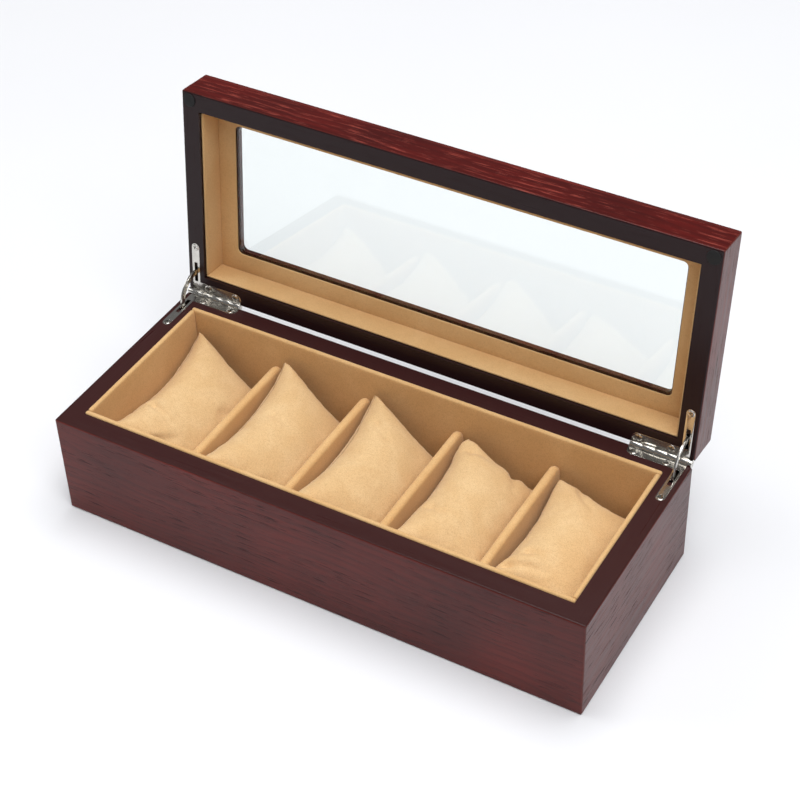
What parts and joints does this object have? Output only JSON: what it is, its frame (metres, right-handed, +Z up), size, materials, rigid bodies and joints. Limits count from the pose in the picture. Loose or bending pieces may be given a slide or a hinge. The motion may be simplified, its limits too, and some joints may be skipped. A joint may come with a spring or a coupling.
{
  "type": "watch box",
  "caption": "Long wooden watch box with a hinged glass-topped lid, suede lining and dividers, and a loose pillow in each slot.",
  "frame": {"origin": "centre of the felt underside", "axes": "+X along the box's length to the right end, +Y to the hinged back, +Z up"},
  "size_m": [0.315, 0.165, 0.1916],
  "materials": {
    "veneered_wood": "dark mahogany stain on open-grained veneer, satin lacquer",
    "bottom_panel": "plain fibreboard, hidden between lining and felt",
    "felt": "pressed black felt",
    "suede_lining": "fine tan imitation suede over board",
    "suede_pillow": "fine tan imitation suede, sewn pillow",
    "pillow_filling": "loose polyester wadding, hidden",
    "plated_hinge": "bright nickel plate on stamped steel",
    "glass": "clear flat float glass",
    "rubber": "matt black soft pad"
  },
  "bodies": {
    "base": {"base_front_board": "veneered_wood", "base_back_board": "veneered_wood", "base_left_board": "veneered_wood", "base_right_board": "veneered_wood", "base_bottom_panel": "bottom_panel", "underside_felt": "felt", "base_lining_floor": "suede_lining", "base_lining_front": "suede_lining", "base_lining_back": "suede_lining", "base_lining_left": "suede_lining", "base_lining_right": "suede_lining", "divider_1": "suede_lining", "divider_2": "suede_lining", "divider_3": "suede_lining", "divider_4": "suede_lining", "hinge_left_base_leaf": "plated_hinge", "hinge_left_pin": "plated_hinge", "hinge_left_base_screws": "plated_hinge", "hinge_right_base_leaf": "plated_hinge", "hinge_right_pin": "plated_hinge", "hinge_right_base_screws": "plated_hinge"},
    "lid": {"lid_front_rail": "veneered_wood", "lid_back_rail": "veneered_wood", "lid_left_rail": "veneered_wood", "lid_right_rail": "veneered_wood", "lid_top_panel": "veneered_wood", "lid_glass": "glass", "lid_glass_retainer": "suede_lining", "lid_lining_front": "suede_lining", "lid_lining_back": "suede_lining", "lid_lining_left": "suede_lining", "lid_lining_right": "suede_lining", "lid_pad_left": "rubber", "lid_pad_right": "rubber", "hinge_left_lid_leaf": "plated_hinge", "hinge_left_lid_screws": "plated_hinge", "hinge_right_lid_leaf": "plated_hinge", "hinge_right_lid_screws": "plated_hinge"},
    "stay_left": {"stay_left": "plated_hinge"},
    "stay_right": {"stay_right": "plated_hinge"},
    "pillow_1": {"pillow_1_cover": "suede_pillow", "pillow_1_filling": "pillow_filling"},
    "pillow_2": {"pillow_2_cover": "suede_pillow", "pillow_2_filling": "pillow_filling"},
    "pillow_3": {"pillow_3_cover": "suede_pillow", "pillow_3_filling": "pillow_filling"},
    "pillow_4": {"pillow_4_cover": "suede_pillow", "pillow_4_filling": "pillow_filling"},
    "pillow_5": {"pillow_5_cover": "suede_pillow", "pillow_5_filling": "pillow_filling"}
  },
  "joints": [
    {"name": "lid_hinge", "type": "hinge", "parent": "base", "child": "lid", "pos_m": [0, 0.0641, 0.0649], "axis": [-1, 0, 0], "range_deg": [-96.4, 0]},
    {"name": "stay_left_swing", "type": "hinge", "parent": "base", "child": "stay_left", "pos_m": [0, 0.0641, 0.0649], "axis": [-1, 0, 0], "range_deg": [-48.2, 0]},
    {"name": "stay_right_swing", "type": "hinge", "parent": "base", "child": "stay_right", "pos_m": [0, 0.0641, 0.0649], "axis": [-1, 0, 0], "range_deg": [-48.2, 0]},
    {"name": "pillow_1_lift", "type": "slide", "parent": "base", "child": "pillow_1", "axis": [0, 0, 1], "range_m": [0, 0.08]},
    {"name": "pillow_2_lift", "type": "slide", "parent": "base", "child": "pillow_2", "axis": [0, 0, 1], "range_m": [0, 0.08]},
    {"name": "pillow_3_lift", "type": "slide", "parent": "base", "child": "pillow_3", "axis": [0, 0, 1], "range_m": [0, 0.08]},
    {"name": "pillow_4_lift", "type": "slide", "parent": "base", "child": "pillow_4", "axis": [0, 0, 1], "range_m": [0, 0.08]},
    {"name": "pillow_5_lift", "type": "slide", "parent": "base", "child": "pillow_5", "axis": [0, 0, 1], "range_m": [0, 0.08]}
  ],
  "couplings": [
    {"joint": "stay_left_swing", "follows": "lid_hinge", "ratio": 0.5},
    {"joint": "stay_right_swing", "follows": "lid_hinge", "ratio": 0.5}
  ]
}
